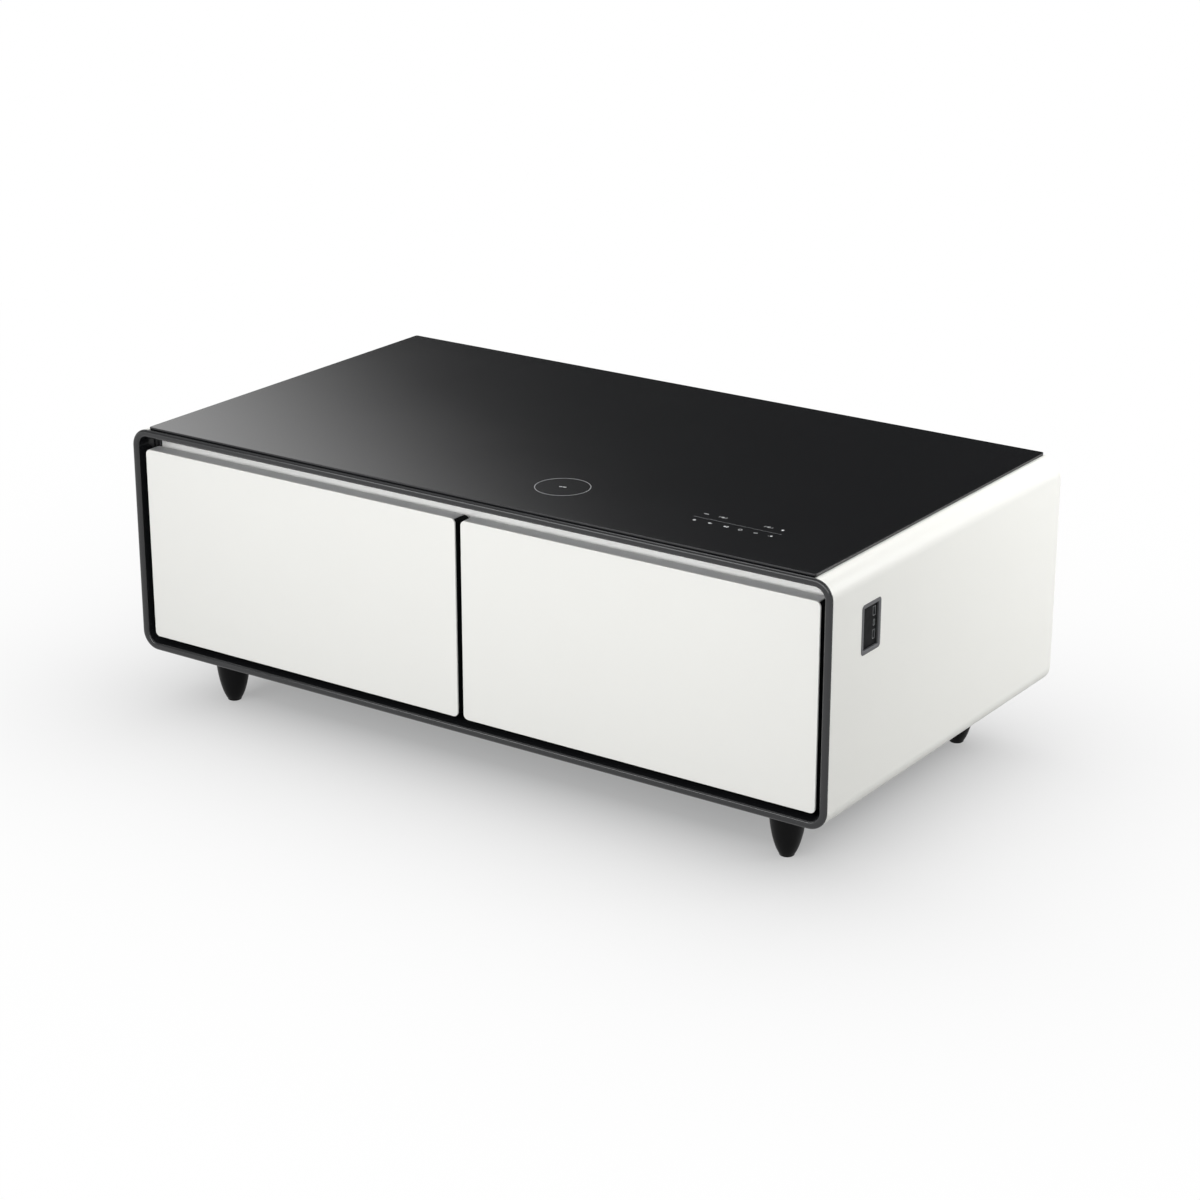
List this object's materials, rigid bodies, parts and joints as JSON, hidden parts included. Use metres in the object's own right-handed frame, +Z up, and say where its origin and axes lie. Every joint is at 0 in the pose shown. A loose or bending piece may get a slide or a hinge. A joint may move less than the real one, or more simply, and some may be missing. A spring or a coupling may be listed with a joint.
{
  "type": "refrigerator coffee table",
  "caption": "Low coffee table with a black glass top over a white refrigerated body with sliding drawers, a finger channel above them, round legs and a side charging socket.",
  "frame": {"origin": "on the floor, below the middle of the case seen from above", "axes": "+X to the right seen from the front, +Y to the back, +Z up; the drawers open towards -Y"},
  "size_m": [1.3, 0.7, 0.476],
  "materials": {
    "black_glass": "polished",
    "white_enamel": "satin",
    "white_sheet": "satin",
    "white_front": "gloss",
    "black_plastic": "satin",
    "black_core": "satin",
    "leg_plastic": "satin",
    "brushed_aluminium": "satin",
    "grey_aluminium": "satin",
    "fin_aluminium": "matte",
    "evaporator_aluminium": "matte",
    "grey_bezel": "satin",
    "slide_steel": "satin",
    "plate_steel": "satin",
    "galvanised_sheet": "matte",
    "rigid_foam": "matte",
    "deck_board": "matte",
    "liner_plastic": "satin",
    "bin_plastic": "satin",
    "gasket_rubber": "matte",
    "black_enamel": "satin",
    "copper": "satin",
    "coil_module": "matte",
    "circuit_board": "satin"
  },
  "bodies": {
    "cabinet": {"glass_top": "black_glass", "side_panel_left": "white_enamel", "side_panel_right": "white_enamel", "top_deck": "deck_board", "front_frame": "black_plastic", "base_pan": "galvanised_sheet", "rear_cover": "white_sheet", "channel_strip": "brushed_aluminium", "channel_cheek_left": "black_plastic", "channel_cheek_right": "black_plastic", "insulation_block": "rigid_foam", "compressor": "black_enamel", "condenser": "fin_aluminium", "fan_shroud": "black_plastic", "drip_tray": "liner_plastic", "discharge_line": "copper", "suction_line": "copper", "charging_module": "coil_module", "touch_board": "circuit_board", "control_board": "circuit_board", "power_supply": "galvanised_sheet", "mains_inlet": "black_plastic", "socket_bezel": "grey_bezel", "socket_ports": "black_core", "liner_left": "liner_plastic", "evaporator_left": "evaporator_aluminium", "slide_left_left_cabinet": "slide_steel", "slide_left_right_cabinet": "slide_steel", "liner_right": "liner_plastic", "evaporator_right": "evaporator_aluminium", "slide_right_left_cabinet": "slide_steel", "slide_right_right_cabinet": "slide_steel", "leg_front_left": "leg_plastic", "leg_plate_front_left": "plate_steel", "leg_front_right": "leg_plastic", "leg_plate_front_right": "plate_steel", "leg_back_left": "leg_plastic", "leg_plate_back_left": "plate_steel", "leg_back_right": "leg_plastic", "leg_plate_back_right": "plate_steel"},
    "drawer_left": {"drawer_left_panel": "white_front", "drawer_left_core": "black_core", "drawer_left_handle": "grey_aluminium", "drawer_left_gasket": "gasket_rubber", "drawer_left_bin": "bin_plastic", "slide_left_left_drawer": "slide_steel", "slide_left_right_drawer": "slide_steel"},
    "slide_middle_left": {"slide_left_left_middle": "slide_steel", "slide_left_right_middle": "slide_steel"},
    "drawer_right": {"drawer_right_panel": "white_front", "drawer_right_core": "black_core", "drawer_right_handle": "grey_aluminium", "drawer_right_gasket": "gasket_rubber", "drawer_right_bin": "bin_plastic", "slide_right_left_drawer": "slide_steel", "slide_right_right_drawer": "slide_steel"},
    "slide_middle_right": {"slide_right_left_middle": "slide_steel", "slide_right_right_middle": "slide_steel"},
    "fan": {"condenser_fan": "black_plastic"}
  },
  "joints": [
    {"name": "drawer_left_slide", "type": "slide", "parent": "cabinet", "child": "drawer_left", "axis": [0, -1, 0], "range_m": [0, 0.4]},
    {"name": "slide_middle_left_travel", "type": "slide", "parent": "cabinet", "child": "slide_middle_left", "axis": [0, -1, 0], "range_m": [0, 0.2]},
    {"name": "drawer_right_slide", "type": "slide", "parent": "cabinet", "child": "drawer_right", "axis": [0, -1, 0], "range_m": [0, 0.4]},
    {"name": "slide_middle_right_travel", "type": "slide", "parent": "cabinet", "child": "slide_middle_right", "axis": [0, -1, 0], "range_m": [0, 0.2]},
    {"name": "fan_spin", "type": "hinge", "parent": "cabinet", "child": "fan", "pos_m": [0.098, 0.25415, 0.1682], "axis": [1, 0, 0], "continuous": true}
  ],
  "couplings": [
    {"joint": "slide_middle_left_travel", "follows": "drawer_left_slide", "ratio": 0.5},
    {"joint": "slide_middle_right_travel", "follows": "drawer_right_slide", "ratio": 0.5}
  ]
}
